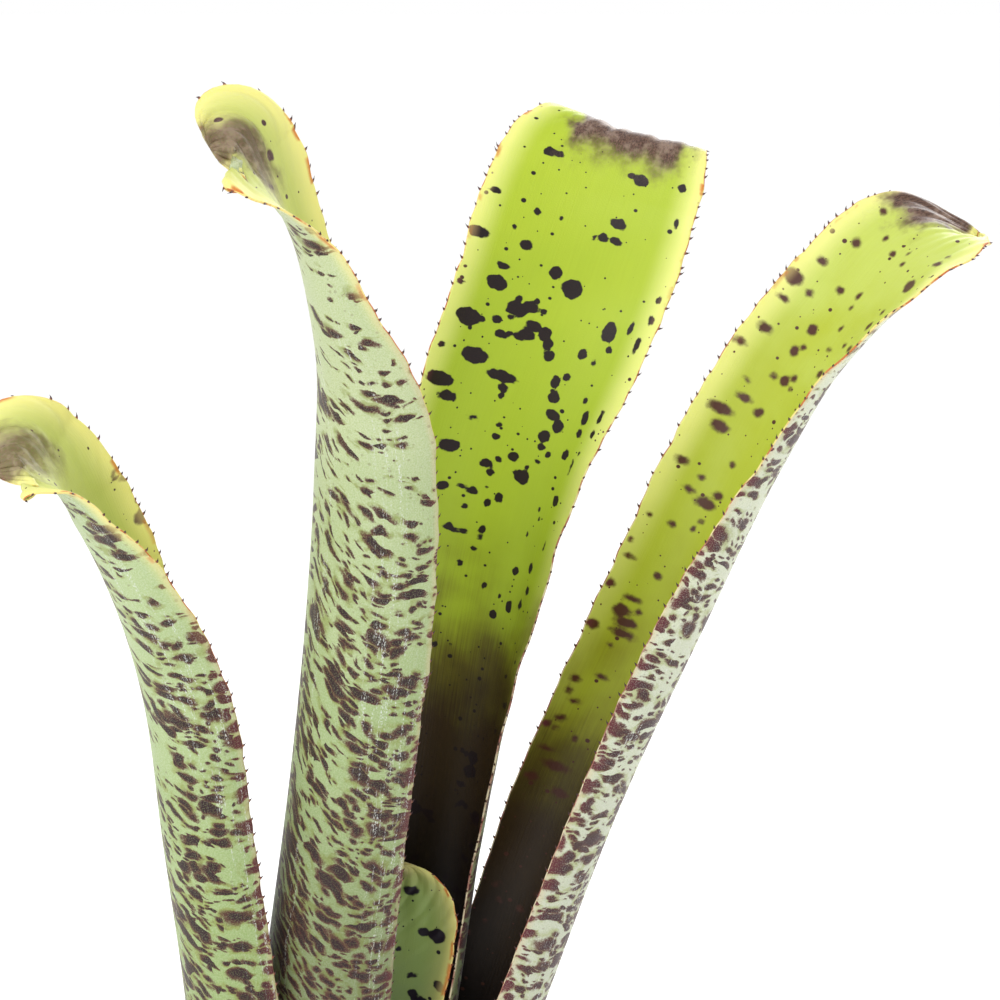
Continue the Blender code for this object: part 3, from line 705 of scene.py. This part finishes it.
def inner_material(name, look, low, middle, high, glow, spot):
    g = Graph(name, 0.45)
    place = g.attribute("leaf_mm")
    margin, from_tip, share = g.split(g.attribute("leaf_state"))
    away = g.attribute("spots", "Fac")
    seed, soft = look["seed"], look["soft"]
    cloud = g.noise(place, 0.045, 3.0)
    fine = g.noise(place, 2.4, 2.0)
    fibres = g.noise(g.vector("MULTIPLY", place, (2.2, 0.05, 0.0)), 1.0, 3.0)
    drift = g.math("ADD", share, g.swing(cloud, 0.25))
    ground = g.mix(g.ease(drift, 0.5, 0.74), low, middle)
    ground = g.mix(g.ease(drift, 0.76, 0.96), ground, high)
    ground = g.mix(g.math("MULTIPLY", fibres, 0.2), ground, low)
    # Painted glow of light shining through the thin margins, stronger towards the tip.
    margin_glow = g.math("MULTIPLY", g.ease(margin, 10.0, 0.3), g.ease(share, 0.55, 0.8, 0.15, 0.9))
    ground = g.mix(margin_glow, ground, glow)

    # Painted shade: towards its base the inner face goes through umber and dark brown to near black, deep
    # in the rosette's cup.
    full, first = look["painted_shade"]
    shadow = g.math("ADD", g.split(place)[1], g.math("ADD", g.swing(cloud, 36.0), g.swing(fibres, 16.0)))
    ground = g.mix(g.ease(shadow, first + 12, full + 10, 0.0, 0.8), ground, srgb(86, 66, 20))
    ground = g.mix(g.ease(shadow, first - 8, full - 6, 0.0, 0.92), ground, srgb(46, 27, 15))
    ground = g.mix(g.ease(shadow, full - 4, full - 58, 0.0, 0.85), ground, srgb(17, 10, 10))

    edge = g.math("ADD", g.swing(g.noise(place, 0.4, 1.0), 1.1), g.swing(fine, 0.4 * soft))
    large = g.ease(g.math("ADD", away, edge), 0.6 * soft, -soft)
    small = g.spots(place, 5.5, 4.5, 0.2, (0.05, 0.15), 0.03, seed + 10)
    specks = g.spots(place, 2.6, 2.6, 0.12, (0.05, 0.13), 0.03, seed + 20)
    mask = g.math("MAXIMUM", large, g.math("MAXIMUM", small, specks))
    colour = g.mix(g.math("MULTIPLY", fine, 0.25), spot, srgb(64, 34, 34))
    colour = g.mix(g.ease(margin, 4.0, 0.5, 0.0, 0.5), colour, srgb(120, 50, 70))
    ground = g.mix(mask, ground, colour)

    ground = add_rim(g, ground, place, margin, from_tip)
    stipple = g.noise(g.vector("MULTIPLY", place, (2.0, 1.1, 0.0)), 1.0, 4.0, 0.8)
    mottle = g.noise(place, 0.22, 3.0, 0.6)
    husk = g.mix(g.ease(stipple, 0.36, 0.64), srgb(62, 42, 34), srgb(112, 84, 70))
    husk = g.mix(g.ease(mottle, 0.42, 0.66, 0.0, 0.45), husk, srgb(168, 146, 130))
    dying = husk_share(g, look, place, from_tip)
    ground = g.mix(g.ease(g.math("ADD", dying, g.swing(stipple, 0.4)), 0.05, 0.9), ground, husk)
    g.set("Base Color", ground)
    g.set("Specular IOR Level", 0.3)
    g.set("Subsurface Weight", 0.25)
    g.set("Subsurface Radius", (1.0, 1.0, 0.35))
    g.set("Subsurface Scale", 0.0012)
    relief = g.math("ADD", g.math("MULTIPLY", fibres, 0.6), g.math("MULTIPLY", fine, 0.4))
    g.bump(relief, 0.25, 0.0004)
    return g.material


def outer_material(name, look, low, high, olive, blotch):
    g = Graph(name, 0.55)
    place = g.attribute("leaf_mm")
    margin, from_tip, share = g.split(g.attribute("leaf_state"))
    seed = look["seed"]
    cloud = g.noise(g.vector("ADD", place, (seed * 71.0, 0.0, 0.0)), 0.035, 3.0)
    fine = g.noise(place, 2.0, 3.0, 0.6)
    across, along, _ = g.split(place)
    aside = g.math("MINIMUM", g.math("SUBTRACT", ARCH_CENTRE, across), ARCH_REACH)
    arched = g.node("CombineXYZ")
    g.put(arched.inputs[0], across)
    lift = g.math("MULTIPLY", g.math("POWER", aside, 2.0), ARCH)
    g.put(arched.inputs[1], g.math("SUBTRACT", along, lift))
    slow = g.vector("SUBTRACT", g.noise(place, 0.07, 2.0, output=1), (0.5, 0.5, 0.5))
    quick = g.vector("SUBTRACT", g.noise(place, 0.5, 2.0, output=1), (0.5, 0.5, 0.5))
    bent = g.vector("ADD", arched.outputs[0], g.vector("MULTIPLY", slow, (8.0, 8.0, 0.0)))
    bent = g.vector("ADD", bent, g.vector("MULTIPLY", quick, (1.5, 0.8, 0.0)))
    bands = g.noise(g.vector("MULTIPLY", arched.outputs[0], (0.035, 0.13, 0.0)), 1.0, 2.0)
    crowding = g.math("ADD", g.swing(bands, 1.2), g.swing(cloud, 0.6))
    density = g.math("ADD", g.ease(share, 0.45, 1.0, *look["dense"]), crowding)
    thinner = g.math("MULTIPLY", density, 0.7)
    wide = g.spot_field(bent, 8.6, 4.5, g.math("SUBTRACT", density, 0.06), (0.24, 0.52), seed)
    close = g.spot_field(bent, 5.4, 2.9, density, (0.24, 0.5), seed + 5)
    dashes = g.spot_field(bent, 3.2, 1.7, thinner, (0.18, 0.42), seed + 9)
    field = g.math("MINIMUM", g.math("MINIMUM", wide, close), dashes)
    field = g.math("ADD", field, g.swing(fine, 0.2))

    ground = g.mix(g.ease(g.math("ADD", share, g.swing(cloud, 0.3)), 0.5, 0.92), low, high)
    ground = g.mix(g.ease(fine, 0.35, 0.7, 0.0, 0.16), ground, srgb(236, 240, 222))
    halo = g.math("MULTIPLY", g.ease(field, 0.45, 0.08), g.ease(g.noise(place, 0.25), 0.4, 0.62, 0.0, 0.6))
    ground = g.mix(halo, ground, olive)
    stipple = g.noise(g.vector("MULTIPLY", place, (2.6, 3.4, 0.0)), 1.0, 2.0, 0.6)
    ground = g.mix(g.ease(stipple, 0.5, 0.66, 0.0, 0.3), ground, srgb(116, 158, 70))
    ground = g.mix(g.ease(margin, 2.4, 0.2, 0.0, 0.45), ground, srgb(206, 188, 150))
    # Painted shade low down on the outer face, where it lies inside the rosette: the ground is mixed
    # towards dark olive brown.
    unshaded = g.ease(share, 0.38, 0.62, look["low"], 1.0)
    ground = g.mix(unshaded, srgb(58, 52, 32), ground)

    mask = g.math("MULTIPLY", g.ease(field, 0.1, -0.1), g.ease(stipple, 0.3, 0.5, 0.7, 1.0))
    dots = g.spots(place, 1.7, 1.4, 0.1, (0.1, 0.3), 0.12, seed + 30)
    mask = g.math("MAXIMUM", mask, g.math("MULTIPLY", dots, 0.3))
    colour = g.mix(g.ease(field, -0.02, -0.25), srgb(88, 50, 42), blotch)
    colour = g.mix(g.ease(margin, 5.0, 0.5, 0.0, 0.6), colour, srgb(104, 34, 46))
    ground = g.mix(mask, ground, colour)

    scurf = g.noise(g.vector("MULTIPLY", place, (0.9, 0.06, 0.0)), 1.0, 4.0, 0.65)
    flecks = g.noise(g.vector("MULTIPLY", place, (3.0, 1.4, 0.0)), 1.0, 2.0)
    patches = g.noise(g.vector("MULTIPLY", place, (0.09, 0.006, 0.0)), 1.0, 2.0)
    white = g.math("MULTIPLY", g.ease(scurf, 0.52, 0.66), g.ease(flecks, 0.5, 0.62))
    white = g.math("MULTIPLY", white, g.ease(patches, 0.48, 0.62, 0.0, 0.75))
    ground = g.mix(white, ground, srgb(214, 218, 212))

    ground = add_rim(g, ground, place, margin, from_tip)
    dying = g.math("MULTIPLY", husk_share(g, look, place, from_tip), 0.7)
    husk = g.mix(g.ease(flecks, 0.35, 0.65), srgb(96, 74, 62), srgb(156, 134, 108))
    ground = g.mix(dying, ground, husk)
    g.set("Base Color", ground)
    g.set("Specular IOR Level", 0.3)
    g.set("Subsurface Weight", 0.2)
    g.set("Subsurface Radius", (1.0, 1.0, 0.5))
    g.set("Subsurface Scale", 0.001)
    g.set("Sheen Weight", 0.15)
    g.set("Sheen Roughness", 0.4)
    relief = g.math("ADD", g.math("MULTIPLY", scurf, 0.6), g.math("MULTIPLY", fine, 0.5))
    g.bump(relief, 0.3, 0.0004)
    return g.material


def margin_material():
    g = Graph("leaf_margin", 0.45)
    place = g.attribute("leaf_mm")
    _, from_tip, share = g.split(g.attribute("leaf_state"))
    reach = g.attribute("spine", "Fac")
    patch = g.noise(place, 0.16, 3.0)
    low = g.mix(g.ease(patch, 0.4, 0.6), srgb(222, 208, 172), srgb(160, 104, 90))
    high = g.mix(g.ease(patch, 0.48, 0.6), srgb(232, 214, 128), srgb(196, 110, 46))
    line = g.mix(g.ease(share, 0.62, 0.86), low, high)
    spine = g.mix(g.ease(reach, 0.0, 0.5), srgb(170, 100, 60), srgb(60, 32, 34))
    g.set("Base Color", g.mix(g.ease(reach, 0.0, 0.1), line, spine))
    g.bump(g.noise(place, 3.0), 0.2, 0.0002)
    return g.material


def lathe(parts, profile, segments, top_noise=None):
    """Turns a profile of (radius, height) about Z; a radius of 0 makes a pole."""
    turns = np.linspace(0, 2 * np.pi, segments, endpoint=False)
    rings, poles = [], []
    points, faces = [], []
    for radius, height in profile:
        if radius == 0:
            poles.append(len(points))
            rings.append([len(points)] * segments)
            points.append((0.0, 0.0, height))
            continue
        rings.append(list(range(len(points), len(points) + segments)))
        for turn in turns:
            lift = top_noise(turn, radius, height) if top_noise else 0.0
            points.append((radius * math.cos(turn), radius * math.sin(turn), height + lift))
    for first, second in zip(rings[:-1], rings[1:]):
        for k in range(segments):
            n = (k + 1) % segments
            loop = list(dict.fromkeys((first[k], second[k], second[n], first[n])))
            faces.append(loop)
    parts.points.append(np.array(points))
    for face in faces:
        parts.faces.append(np.array([face]) + parts.count)
        parts.slots.append(np.array([0]))
    parts.count += len(points)


def arc_points(centre, radius, start, end, steps):
    """Points on an arc in a profile, between two angles in degrees."""
    turns = np.radians(np.linspace(start, end, steps))
    return [(centre[0] + radius * math.cos(t), centre[1] + radius * math.sin(t)) for t in turns]


def inner_radius(height):
    share = (height - POT_FLOOR) / (POT_HEIGHT - POT_FLOOR)
    return POT_INNER_FOOT_RADIUS + share * (POT_INNER_TOP_RADIUS - POT_INNER_FOOT_RADIUS)


def terracotta_material():
    g = Graph("terracotta", 0.88)
    place = g.node("TexCoord").outputs["Object"]
    height = g.split(place)[2]
    cloud = g.noise(place, 22.0, 4.0, 0.6, "3D")
    fine = g.noise(place, 900.0, 2.0, 0.6, "3D")
    ground = g.mix(cloud, srgb(178, 98, 66), srgb(205, 128, 92))
    ground = g.mix(g.ease(fine, 0.35, 0.75), ground, srgb(214, 146, 112))
    damp = g.ease(g.math("ADD", height, g.math("MULTIPLY", cloud, 0.05)), 0.075, 0.02)
    bloom = g.ease(g.noise(place, 60.0, 5.0, 0.7, "3D"), 0.48, 0.66)
    ground = g.mix(g.math("MULTIPLY", g.math("MULTIPLY", damp, bloom), 0.45), ground, srgb(226, 208, 190))
    g.set("Base Color", ground)
    rings = g.noise(g.vector("MULTIPLY", place, (2.0, 2.0, 420.0)), 1.0, 2.0, 0.5, "3D")
    relief = g.math("ADD", g.math("MULTIPLY", rings, 0.7), g.math("MULTIPLY", fine, 0.3))
    g.bump(relief, 0.35, 0.0005)
    return g.material


def bark_material():
    g = Graph("bark_mix", 0.92)
    place = g.node("TexCoord").outputs["Object"]
    tone = g.attribute("tone", "Fac")
    coarse = g.noise(place, 260.0, 4.0, 0.6, "3D")
    fibre = g.noise(g.vector("MULTIPLY", place, (1400.0, 300.0, 1400.0)), 1.0, 3.0, 0.6, "3D")
    ground = g.mix(coarse, srgb(48, 33, 24), srgb(96, 64, 44))
    ground = g.mix(tone, ground, g.mix(coarse, srgb(110, 74, 50), srgb(156, 112, 78)))
    ground = g.mix(g.ease(fibre, 0.55, 0.75), ground, srgb(44, 30, 24))
    g.set("Base Color", ground)
    g.bump(g.math("ADD", coarse, fibre), 0.5, 0.0008)
    return g.material


def stem_material():
    g = Graph("stock", 0.8)
    place = g.node("TexCoord").outputs["Object"]
    rings = g.noise(g.vector("MULTIPLY", place, (60.0, 60.0, 700.0)), 1.0, 3.0, 0.6, "3D")
    mottle = g.noise(place, 180.0, 3.0, 0.6, "3D")
    ground = g.mix(mottle, srgb(120, 116, 70), srgb(160, 150, 96))
    g.set("Base Color", g.mix(g.ease(rings, 0.5, 0.7), ground, srgb(92, 66, 46)))
    g.bump(rings, 0.4, 0.0008)
    return g.material


def make_pot(material):
    rim_foot = POT_HEIGHT - POT_RIM_DROP
    edge = POT_EDGE
    profile = [(0.0, POT_FLOOR), (POT_INNER_FOOT_RADIUS - 2 * edge, POT_FLOOR)]
    profile += arc_points((POT_INNER_FOOT_RADIUS - edge, POT_FLOOR + edge), edge, -90, -10, 5)
    for height in np.linspace(POT_FLOOR + 2 * edge, POT_HEIGHT - 2 * edge, POT_WALL_STEPS):
        profile.append((inner_radius(height), height))
    profile += arc_points((POT_INNER_TOP_RADIUS + edge, POT_HEIGHT - edge), edge, 175, 95, 5)
    profile += arc_points((POT_RIM_RADIUS - edge, POT_HEIGHT - edge), edge, 90, 0, 6)
    profile += [(POT_RIM_RADIUS - POT_RIM_TAPER, rim_foot + edge)]
    profile += arc_points((POT_RIM_RADIUS - POT_RIM_TAPER - edge, rim_foot + edge), edge, -5, -85, 5)
    profile += [(POT_NECK_RADIUS + 0.0012, rim_foot - 0.0001), (POT_NECK_RADIUS, rim_foot - edge)]
    for share in np.linspace(0.05, 1, POT_WALL_STEPS):
        profile.append((
            POT_NECK_RADIUS + share * (POT_FOOT_RADIUS + POT_FOOT_FLARE - POT_NECK_RADIUS),
            rim_foot - edge + share * (2 * edge - rim_foot),
        ))
    profile += [(POT_FOOT_RADIUS - POT_FOOT_FLARE, POT_FOOT_FLARE)]
    profile += [(POT_FOOT_RADIUS - edge, 0.0), (0.0, 0.0)]
    parts = MeshParts()
    lathe(parts, profile, POT_SEGMENTS)
    pot = parts.build("terracotta_pot", [material])
    drills = MeshParts()
    drill_profile = [(radius, DRILL_TOP) for radius in (0.0, DRAIN_RADIUS)]
    drill_profile += [(radius, DRILL_FOOT) for radius in (DRAIN_RADIUS, 0.0)]
    for number in range(DRAIN_HOLES):
        turn = math.radians(DRAIN_FIRST_TURN + number * 360 / DRAIN_HOLES)
        centre = np.array([DRAIN_CIRCLE * math.cos(turn), DRAIN_CIRCLE * math.sin(turn), 0.0])
        lathe(drills, drill_profile, DRAIN_SEGMENTS)
        drills.points[-1] = drills.points[-1] + centre
    drill = drills.build("drill", [])
    cut = pot.modifiers.new("Drain", "BOOLEAN")
    cut.operation, cut.solver, cut.object = "DIFFERENCE", "EXACT", drill
    made = bpy.data.meshes.new_from_object(pot.evaluated_get(bpy.context.evaluated_depsgraph_get()))
    pot.modifiers.clear()
    pot.data = made
    bpy.data.objects.remove(drill)
    shade_by_angle(pot, 35)
    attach(pot, "root")
    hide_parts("pot")
    return pot


def shade_by_angle(piece, degrees):
    piece.data.shade_smooth()
    piece.data.set_sharp_from_angle(angle=math.radians(degrees))


def chip(rng, centre, size, turn, tilt):
    """A rough flake of bark: a rounded box with uneven sides."""
    steps = np.linspace(-1, 1, 4)
    points, index = [], {}
    for i, x in enumerate(steps):
        for j, y in enumerate(steps):
            for k, z in enumerate(steps):
                if {i, j, k} & {0, 3}:
                    index[i, j, k] = len(points)
                    points.append((x, y, z))
    points = np.array(points)
    points = points / np.linalg.norm(points, axis=1)[:, None] ** 0.45
    points = points * (1 + rng.uniform(-0.16, 0.16, points.shape)) * np.array(size) / 2
    ct, st, cl, sl = math.cos(turn), math.sin(turn), math.cos(tilt), math.sin(tilt)
    tilting = np.array([[1, 0, 0], [0, cl, sl], [0, -sl, cl]])
    turning = np.array([[ct, st, 0], [-st, ct, 0], [0, 0, 1]])
    turned = points @ tilting @ turning
    faces = []
    for axis in range(3):
        for side in (0, 3):
            for a in range(3):
                for b in range(3):
                    loop = []
                    for da, db in ((0, 0), (1, 0), (1, 1), (0, 1)):
                        key = [a + da, b + db]
                        key.insert(axis, side)
                        loop.append(index[tuple(key)])
                    if (side == 3) == (axis == 1):
                        loop.reverse()
                    faces.append(loop)
    return turned + centre, faces


def make_mix(material):
    rng = np.random.default_rng(11)
    waves = [(rng.integers(3, 40), rng.uniform(200, 900), rng.uniform(0, 6.3)) for _ in range(14)]

    def bumps(turn, radius, height):
        if height < MIX_EDGE_HEIGHT - 0.001 or radius <= POCKET_RADIUS or radius > 0.0635:
            return 0.0
        return 0.0006 * sum(math.sin(n * turn + k * radius + p) for n, k, p in waves) / 3

    foot = POT_FLOOR + GAP
    profile = [(0.0, POCKET_FLOOR), (POCKET_RADIUS, POCKET_FLOOR), (POCKET_RADIUS, MIX_EDGE_HEIGHT)]
    for radius in np.linspace(POCKET_RADIUS + 0.001, inner_radius(MIX_EDGE_HEIGHT) - 0.001, 22):
        crown = 1 - abs(radius - MIX_CROWN_RADIUS) / 0.015
        profile.append((radius, MIX_EDGE_HEIGHT + (MIX_CROWN_HEIGHT - MIX_EDGE_HEIGHT) * max(crown, 0)))
    profile += [
        (inner_radius(MIX_EDGE_HEIGHT) - GAP, MIX_EDGE_HEIGHT),
        (inner_radius(foot) - GAP, foot),
        (0.0, foot),
    ]
    parts = MeshParts()
    lathe(parts, profile, POT_SEGMENTS, bumps)
    parts.layers["tone"] = [np.zeros((parts.count, 1))]
    for _ in range(CHIPS):
        radius = math.sqrt(rng.uniform(CHIP_RING[0] ** 2, CHIP_RING[1] ** 2))
        turn = rng.uniform(0, 2 * math.pi)
        size = (rng.uniform(5, 11) * MM, rng.uniform(3.5, 7) * MM, rng.uniform(1.5, 3.0) * MM)
        centre = (radius * math.cos(turn), radius * math.sin(turn), rng.uniform(*CHIP_HEIGHT))
        heading = turn + math.pi / 2 + rng.uniform(-0.7, 0.7)
        points, faces = chip(rng, centre, size, heading, rng.uniform(-0.5, 0.5))
        parts.add(points, [faces], 0, tone=np.full(len(points), rng.uniform(0, 1)))
    mix = parts.build("bark_mix_fill", [material])
    shade_by_angle(mix, 40)
    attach(mix, "root")
    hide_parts("potting_mix")
    return mix


def area_light(name, location, target, size, power):
    data = bpy.data.lights.new(name, "AREA")
    data.shape = "DISK"
    data.size = size
    data.energy = power
    light = bpy.data.objects.new(name, data)
    bpy.context.scene.collection.objects.link(light)
    light.location = location
    aim = np.array(target) - np.array(location)
    light.rotation_euler = Vector(aim).to_track_quat("-Z", "Y").to_euler()


def make_stage():
    half = FLOOR_SIZE / 2
    parts = MeshParts()
    parts.add([(-half, -half, 0), (half, -half, 0), (half, half, 0), (-half, half, 0)], [[(0, 1, 2, 3)]], 0)
    g = Graph("pale_floor", 0.9)
    g.set("Base Color", (0.9, 0.9, 0.9))
    g.set("Specular IOR Level", 0.1)
    g.set("Emission Color", (1.0, 1.0, 1.0))
    g.set("Emission Strength", 0.12)
    floor = parts.build("floor", [g.material])

    world = bpy.data.worlds.new("studio")
    bpy.context.scene.world = world
    world.use_nodes = True
    background = world.node_tree.nodes["Background"]
    background.inputs["Color"].default_value = (1.0, 1.0, 1.0, 1.0)
    background.inputs["Strength"].default_value = 1.0
    area_light("key_light", (-0.9, -1.3, 1.5), (0.03, 0, 0.4), 1.0, 14.0)
    area_light("back_light", (0.6, 1.3, 1.2), (0.05, 0, 0.4), 1.0, 12.0)


def make_camera():
    data = bpy.data.cameras.new("camera")
    data.lens = LENS
    data.sensor_width = 36.0
    data.clip_end = 100.0
    camera = bpy.data.objects.new("camera", data)
    bpy.context.scene.collection.objects.link(camera)
    rise = math.radians(VIEW_ELEVATION)
    back = np.array([0.0, -math.cos(rise), math.sin(rise)])
    camera.location = np.array(VIEW_TARGET) + VIEW_DISTANCE * back
    camera.rotation_euler = (math.pi / 2 - rise, 0.0, 0.0)
    bpy.context.scene.camera = camera


make_camera()
make_stage()
bpy.context.scene.view_settings.view_transform = "Standard"

margins = margin_material()
for leaf, (leaf_facing, leaf_stations) in LEAVES.items():
    leaf_look = LOOKS[leaf]
    inner_colours, outer_colours = COLOURS[leaf]
    inner_side = inner_material(leaf + "_inner", leaf_look, *[srgb(*shade) for shade in inner_colours])
    outer_side = outer_material(leaf + "_outer", leaf_look, *[srgb(*shade) for shade in outer_colours])
    blade = make_leaf(leaf, leaf_facing, leaf_stations, leaf_look, [inner_side, outer_side, margins])

make_pot(terracotta_material())
make_mix(bark_material())
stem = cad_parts["stem"]
stem.data.materials.clear()
stem.data.materials.append(stem_material())
